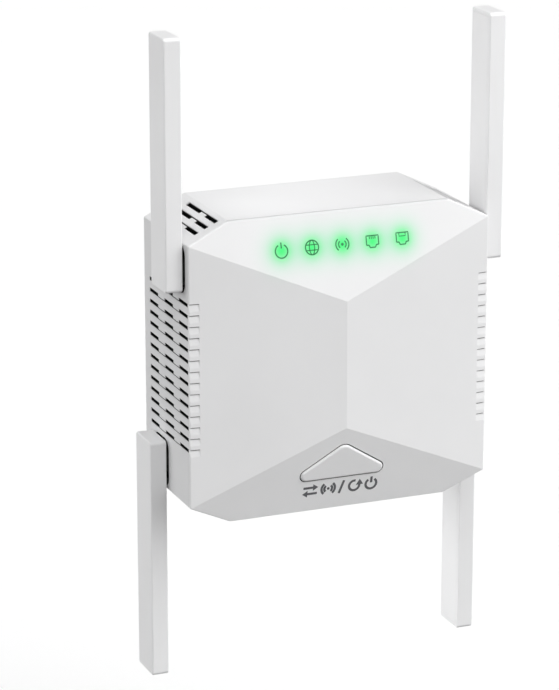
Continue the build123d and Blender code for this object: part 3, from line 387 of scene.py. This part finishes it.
# One material for each slot of the record, under the slot's name
SLOT_SHADINGS = (
    glowing_cover("cover_white", WHITE),
    # housing: painted near-black below its outer form, painted shade in its slots, pockets and grooves
    moulded_plastic("housing_white", (0.82, 0.82, 0.825), 0.55, shade=(0.05, 0.25, 0.005), gloss=0.2),
    # button: its walls below the facets are painted dark, painted shade in the gap round it
    moulded_plastic("button_white", WHITE, 0.34, shade=(0.02, 0.2, 0.03)),
    moulded_plastic("antenna_white", (0.91, 0.91, 0.915), 0.34),
    # hub: painted black near and inside the body's outer form, painted shade in the gap beside each
    # antenna
    moulded_plastic("hub_white", (0.80, 0.80, 0.80), 0.45, shade=(-0.62, -0.5, 0.01)),
    moulded_plastic("plug_white", (0.82, 0.82, 0.81), 0.5, grain=900.0, grain_height=0.02),
    moulded_plastic("carrier_grey", (0.32, 0.33, 0.35), 0.5),
    moulded_plastic("chip_black", (0.02, 0.02, 0.022), 0.55),
    moulded_plastic("switch_brown", (0.10, 0.05, 0.03), 0.45),
    moulded_plastic("ferrite_grey", (0.05, 0.05, 0.055), 0.6, grain=700.0, grain_height=0.03),
    moulded_plastic("capacitor_sleeve", (0.02, 0.025, 0.05), 0.25),
    moulded_plastic("lead_grey", (0.06, 0.06, 0.065), 0.5),
    metal("pin_nickel", (0.78, 0.75, 0.68), 0.22),
    metal("screw_steel", (0.50, 0.50, 0.52), 0.35),
    metal("clip_steel", (0.45, 0.45, 0.47), 0.35),
    metal("contact_brass", (0.75, 0.56, 0.25), 0.3),
    metal("contact_gold", (0.90, 0.66, 0.25), 0.2),
    metal("shield_tin", (0.70, 0.71, 0.72), 0.3, grain=(60.0, 60.0, 300.0)),
    metal("sink_aluminium", (0.80, 0.81, 0.82), 0.35, grain=(300.0, 300.0, 20.0)),
    circuit_board("board_green", (0.012, 0.10, 0.035)),
    circuit_board("aerial_board", (0.015, 0.12, 0.05)),
    wound_tape("tape_yellow", (0.75, 0.50, 0.08)),
    clear_plastic("guide_clear", (0.88, 0.97, 0.91)),
    clear_plastic("fuse_glass", (0.90, 0.94, 0.93), 0.03),
    lit_lamp("lamp_green", (0.10, 1.0, 0.35)),
)
ICON_INK = printed_ink("icon_ink", (0.012, 0.20, 0.055))
LABEL_INK = printed_ink("label_ink", (0.075, 0.075, 0.08))


def finish_cad_nodes():
    """Every CAD node takes the material of its slot."""
    materials = {shading.name: shading.material for shading in SLOT_SHADINGS}
    slots = {row["node"]: row["material_slot"] for row in frame["record"]["subparts"]}
    for name, node in frame["nodes"].items():
        material = materials[slots[name]]
        if node.material_slots:
            for slot in node.material_slots:
                slot.material = material
        else:
            node.data.materials.append(material)


# ---------------------------------------------------------------- printed marks

INK_PROUD = 0.02 * MM        # how far the ink stands off the cover
INK_SUNK = 0.03 * MM         # and how far its underside lies in it


def facet_y(x, z):
    """Y of the cover's front surface at a point of the front view."""
    level = z - BODY_MID_Z
    behind = max(
        SIDE_SETBACK * abs(x) / HALF_WIDTH,
        TOP_SLOPE * (level - RIDGE_TOP),
        BOTTOM_SLOPE * (RIDGE_BOTTOM - level),
    )
    return RIDGE_Y + behind


def stroke(path, width, closed=False):
    """Flat ribbon outline along a 2-D path: pairs of left and right points."""
    count = len(path)
    pairs = []
    for index, point in enumerate(path):
        if closed:
            before = path[index - 1]
            after = path[(index + 1) % count]
        else:
            before = path[max(index - 1, 0)]
            after = path[min(index + 1, count - 1)]
        along = Vector((after[0] - before[0], after[1] - before[1])).normalized()
        across = Vector((-along.y, along.x)) * width / 2
        pairs.append((Vector(point) + across, Vector(point) - across))
    return pairs


def ellipse_arc(centre, radius_x, radius_z, start, end, steps=20):
    """Points of an elliptical arc, in degrees."""
    points = []
    for index in range(steps + 1):
        angle = math.radians(start + (end - start) * index / steps)
        points.append((centre[0] + radius_x * math.cos(angle), centre[1] + radius_z * math.sin(angle)))
    return points


def arc(centre, radius, start, end, steps=28):
    """Points of a round arc, in degrees."""
    return ellipse_arc(centre, radius, radius, start, end, steps)


def ring(centre, radius, steps):
    """Points around a whole circle, without the last one that would repeat the first."""
    return arc(centre, radius, 0, 360 - 360 / steps, steps - 1)


class Mark:
    """A thin printed mark that lies on the cover, drawn in millimetres about its centre."""

    def __init__(self, name, x, z):
        self.name = name
        self.x = x
        self.z = z
        self.mesh = bmesh.new()

    def vertex(self, point, proud):
        """Vertex at a drawn point, standing off the cover."""
        x = self.x + point[0] * MM
        z = self.z + point[1] * MM
        return self.mesh.verts.new((x, facet_y(x, z) - proud, z))

    def ribbon(self, path, width, closed=False):
        """Line of ink along a path."""
        rings = []
        for left, right in stroke(path, width, closed):
            rings.append((
                self.vertex(left, INK_PROUD), self.vertex(right, INK_PROUD),
                self.vertex(right, -INK_SUNK), self.vertex(left, -INK_SUNK),
            ))
        spans = len(rings) if closed else len(rings) - 1
        for index in range(spans):
            first = rings[index]
            second = rings[(index + 1) % len(rings)]
            for side in range(4):
                other = (side + 1) % 4
                self.mesh.faces.new((first[side], first[other], second[other], second[side]))
        if not closed:
            self.mesh.faces.new(rings[0][::-1])
            self.mesh.faces.new(rings[-1])

    def patch(self, outline):
        """Area of ink inside an outline."""
        front = [self.vertex(point, INK_PROUD) for point in outline]
        back = [self.vertex(point, -INK_SUNK) for point in outline]
        self.mesh.faces.new(front)
        self.mesh.faces.new(back[::-1])
        count = len(outline)
        for index in range(count):
            other = (index + 1) % count
            self.mesh.faces.new((front[other], front[index], back[index], back[other]))

    def arrow_head(self, tip, back, half):
        """Solid arrow head from a tip towards a point behind it."""
        along = (Vector(back) - Vector(tip)).normalized()
        across = Vector((-along.y, along.x)) * half
        self.patch([tip, Vector(back) + across, Vector(back) - across])

    def done(self, ink):
        """Make the piece and put it on the housing."""
        bmesh.ops.recalc_face_normals(self.mesh, faces=self.mesh.faces)
        data = bpy.data.meshes.new(self.name)
        self.mesh.to_mesh(data)
        self.mesh.free()
        piece = bpy.data.objects.new(self.name, data)
        bpy.context.scene.collection.objects.link(piece)
        data.materials.append(ink.material)
        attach(piece, "housing")


# ---- icons over the lamps, in millimetres ----
ICON_LINE = 0.31
ICON_THIN = ICON_LINE * 0.75
PORT_LINE = ICON_LINE * 0.9
PORT_INNER_LINE = ICON_LINE * 0.7
ICON_R = 1.72
PORT_OUTLINE = (
    (-1.62, 1.34), (1.62, 1.34), (1.62, -0.86), (0.98, -0.92),
    (0.70, -1.50), (-0.70, -1.50), (-0.98, -0.92), (-1.62, -0.86),
)
PORT_CONTACTS = 4
PORT_CONTACT_PITCH = 0.5
MERIDIAN_R = 0.68            # half width of the globe's meridian ovals
MERIDIAN_SWEEP = 84          # degrees each way, so that they stop short of the ring's poles
PARALLEL_LIFT = 0.66
PARALLEL_HALF = 1.5
WAVE_RADII = (1.0, ICON_R)
WAVE_SWEEP = 50              # degrees each way
WAVE_DOT_R = 0.36


def power_icon(mark):
    """Open ring with an upright bar in its gap."""
    mark.ribbon(arc((0, -0.15), ICON_R - 0.1, 118, 422), ICON_LINE)
    mark.ribbon([(0, 0.55), (0, 1.95)], ICON_LINE)


def globe_icon(mark):
    """Ring with two meridians and two parallels."""
    mark.ribbon(ring((0, 0), ICON_R, 40), ICON_LINE, closed=True)
    for sign in (-1, 1):
        level = sign * PARALLEL_LIFT
        meridian = ellipse_arc((0, 0), sign * MERIDIAN_R, ICON_R, -MERIDIAN_SWEEP, MERIDIAN_SWEEP)
        mark.ribbon(meridian, ICON_THIN)
        mark.ribbon([(-PARALLEL_HALF, level), (PARALLEL_HALF, level)], ICON_THIN)


def wireless_icon(mark, scale=1.0, line=ICON_LINE):
    """Dot between two pairs of waves."""
    mark.patch(ring((0, 0), WAVE_DOT_R * scale, 20))
    for radius in WAVE_RADII:
        for turn in (0, 180):
            wave = arc((0, 0), radius * scale, turn - WAVE_SWEEP, turn + WAVE_SWEEP, 16)
            mark.ribbon(wave, line)


def port_frame(mark, per_side=6):
    """Outline of a network port; extra points on each side keep its corners crisp."""
    points = []
    count = len(PORT_OUTLINE)
    for index, start in enumerate(PORT_OUTLINE):
        end = PORT_OUTLINE[(index + 1) % count]
        for step in range(per_side):
            share = step / per_side
            points.append((start[0] + (end[0] - start[0]) * share, start[1] + (end[1] - start[1]) * share))
    mark.ribbon(points, PORT_LINE, closed=True)


def port_icon_contacts(mark):
    """Network port with its contacts."""
    port_frame(mark)
    for index in range(PORT_CONTACTS):
        x = (index - (PORT_CONTACTS - 1) / 2) * PORT_CONTACT_PITCH
        mark.ribbon([(x, 1.16), (x, 0.56)], PORT_INNER_LINE)


def port_icon_block(mark):
    """Network port with one contact block."""
    port_frame(mark)
    mark.ribbon([(-0.85, 1.2), (-0.85, 0.5), (0.85, 0.5), (0.85, 1.2)], PORT_INNER_LINE)


# ---- symbols below the button, in millimetres ----
LABEL_LINE = 0.64
LABEL_DROP = 1.7             # from the button's hidden flange to the symbols' centre line


def exchange_symbol(mark):
    """Two opposed arrows."""
    for sign in (-1, 1):
        level = sign * 0.85
        mark.ribbon([(-sign * 1.9, level), (sign * 0.8, level)], LABEL_LINE)
        mark.arrow_head((sign * 2.1, level), (sign * 0.7, level), 0.95)


def wireless_symbol(mark):
    """Wireless sign with the symbols' line."""
    wireless_icon(mark, 1.05, LABEL_LINE)


def slash_symbol(mark):
    """Slanted separator."""
    mark.ribbon([(-0.55, -1.8), (0.55, 1.8)], LABEL_LINE)


def reset_symbol(mark):
    """Circular arrow."""
    mark.ribbon(arc((0, -0.1), 1.4, 80, 372), LABEL_LINE)
    mark.arrow_head((1.36, 1.6), (1.44, 0.0), 1.0)


def restart_symbol(mark):
    """Ring with an upright bar."""
    mark.ribbon(arc((0, -0.2), 1.45, 125, 415), LABEL_LINE)
    mark.ribbon([(0, 0.1), (0, 1.8)], LABEL_LINE)


ICONS = (
    ("icon_power", power_icon),
    ("icon_internet", globe_icon),
    ("icon_wireless", wireless_icon),
    ("icon_port_one", port_icon_contacts),
    ("icon_port_two", port_icon_block),
)
SYMBOLS = (                  # name, place across the cover in millimetres, drawing
    ("label_exchange", -8.1, exchange_symbol),
    ("label_wireless", -3.2, wireless_symbol),
    ("label_separator", 0.4, slash_symbol),
    ("label_reset", 3.9, reset_symbol),
    ("label_restart", 8.5, restart_symbol),
)


def build_marks():
    """Icons over the lamps and symbols below the button."""
    for index, (name, draw) in enumerate(ICONS):
        mark = Mark(name, lamp_x(index), LAMP_Z)
        draw(mark)
        mark.done(ICON_INK)
    for name, x, draw in SYMBOLS:
        mark = Mark(name, x * MM, BUTTON_LOW.z - LABEL_DROP * MM)
        draw(mark)
        mark.done(LABEL_INK)


# ---------------------------------------------------------------- stage

FLOOR_HALF = 6.0             # metres
FLOOR_DROP = 60 * MM         # floor below the part's lowest point
FLOOR_COLOR = (0.97, 0.97, 0.97)
FLOOR_HAZE_COLOR = (0.99, 0.99, 0.99)

# Distant lights: azimuth from -Y towards +X, elevation, strength and softness, with angles in degrees
SUNS = {
    "key": (65, 25, 0.76 * math.pi, 80),
    "top": (-10, 50, 0.56 * math.pi, 80),
    "side": (-110, 10, 0.54 * math.pi, 60),
    "back": (180, 35, 0.05 * math.pi, 30),
}

# Small near lights: place, point lit and diameter in metres, then power in watts. The accent lights the
# cover. Each fill stands between a left and a right antenna and lights the right one's inner face
SOFTBOXES = {
    "accent": ((0.13, -0.17, 0.15), (0.0, RIDGE_Y, BODY_MID_Z), 0.2, 0.07),
    "lower_fill": ((-0.025, -0.028, -0.058), (0.04, -0.028, -0.058), 0.04, 0.017),
    "upper_fill": ((-0.025, -0.041, 0.085), (0.04, -0.041, 0.075), 0.04, 0.004),
}
WORLD_STRENGTH = 0.14

# The main view
VIEW_AZIMUTH = 22.095        # degrees, from -Y towards -X
VIEW_ELEVATION = 16.876      # degrees
CAMERA_DISTANCE = 768.73 * MM
AIM_X = -18.0 * MM           # the point on the ridge plane at the centre of the view
AIM_LIFT = 7.55 * MM
LENS_MM = 164.26
SENSOR_MM = 36.0


def build_floor():
    """Wide pale floor well below the part."""
    z = CAD_BOX[0][2] - FLOOR_DROP
    near = -FLOOR_HALF
    far = FLOOR_HALF
    data = bpy.data.meshes.new("floor")
    data.from_pydata([(near, near, z), (far, near, z), (far, far, z), (near, far, z)], [], [(0, 1, 2, 3)])
    floor = bpy.data.objects.new("floor", data)
    bpy.context.scene.collection.objects.link(floor)
    shading = Shading("pale_floor")
    haze = shading.noise(scale=1.5, detail=2.0)
    shading.surface({"Base Color": shading.mix(haze, FLOOR_COLOR, FLOOR_HAZE_COLOR), "Roughness": 0.9})
    data.materials.append(shading.material)
    floor.visible_diffuse = False    # the floor throws no light back up into the facets


def aim(item, target):
    """Point an object's -Z at a target."""
    direction = Vector(target) - item.location
    item.rotation_euler = direction.to_track_quat("-Z", "Y").to_euler()


def sun(name, azimuth, elevation, strength, softness):
    """Distant soft light on the part."""
    data = bpy.data.lights.new(name, "SUN")
    data.energy = strength
    data.angle = math.radians(softness)
    light = bpy.data.objects.new(name, data)
    turn = math.radians(azimuth)
    rise = math.radians(elevation)
    light.location = (math.sin(turn) * math.cos(rise), -math.cos(turn) * math.cos(rise), math.sin(rise))
    bpy.context.scene.collection.objects.link(light)
    aim(light, (0.0, 0.0, 0.0))


def softbox(name, place, target, diameter, power):
    """Small round light near the part, out of sight of the camera."""
    data = bpy.data.lights.new(name, "AREA")
    data.shape = "DISK"
    data.size = diameter
    data.energy = power
    light = bpy.data.objects.new(name, data)
    light.location = place
    light.visible_camera = False
    bpy.context.scene.collection.objects.link(light)
    aim(light, target)


def build_lights():
    """Large soft lights all round, near lights on the cover and two antennas, and pale surroundings."""
    for name, settings in SUNS.items():
        sun(name, *settings)
    for name, settings in SOFTBOXES.items():
        softbox(name, *settings)
    world = bpy.data.worlds.new("studio")
    world.use_nodes = True
    background = world.node_tree.nodes["Background"]
    background.inputs["Color"].default_value = (1.0, 1.0, 1.0, 1.0)
    background.inputs["Strength"].default_value = WORLD_STRENGTH
    bpy.context.scene.world = world


def build_camera():
    """Camera of the main view: left of the front and a little above."""
    azimuth = math.radians(VIEW_AZIMUTH)
    elevation = math.radians(VIEW_ELEVATION)
    forward = Vector((
        math.sin(azimuth) * math.cos(elevation),
        math.cos(azimuth) * math.cos(elevation),
        -math.sin(elevation),
    ))
    data = bpy.data.cameras.new("camera")
    data.sensor_width = SENSOR_MM
    data.lens = LENS_MM
    camera = bpy.data.objects.new("camera", data)
    target = Vector((AIM_X, RIDGE_Y, BODY_MID_Z + AIM_LIFT))
    camera.location = target - forward * CAMERA_DISTANCE
    camera.rotation_euler = forward.to_track_quat("-Z", "Y").to_euler()
    bpy.context.scene.collection.objects.link(camera)
    bpy.context.scene.camera = camera
    bpy.context.scene.view_settings.view_transform = "Standard"


finish_cad_nodes()
build_marks()
build_floor()
build_lights()
build_camera()
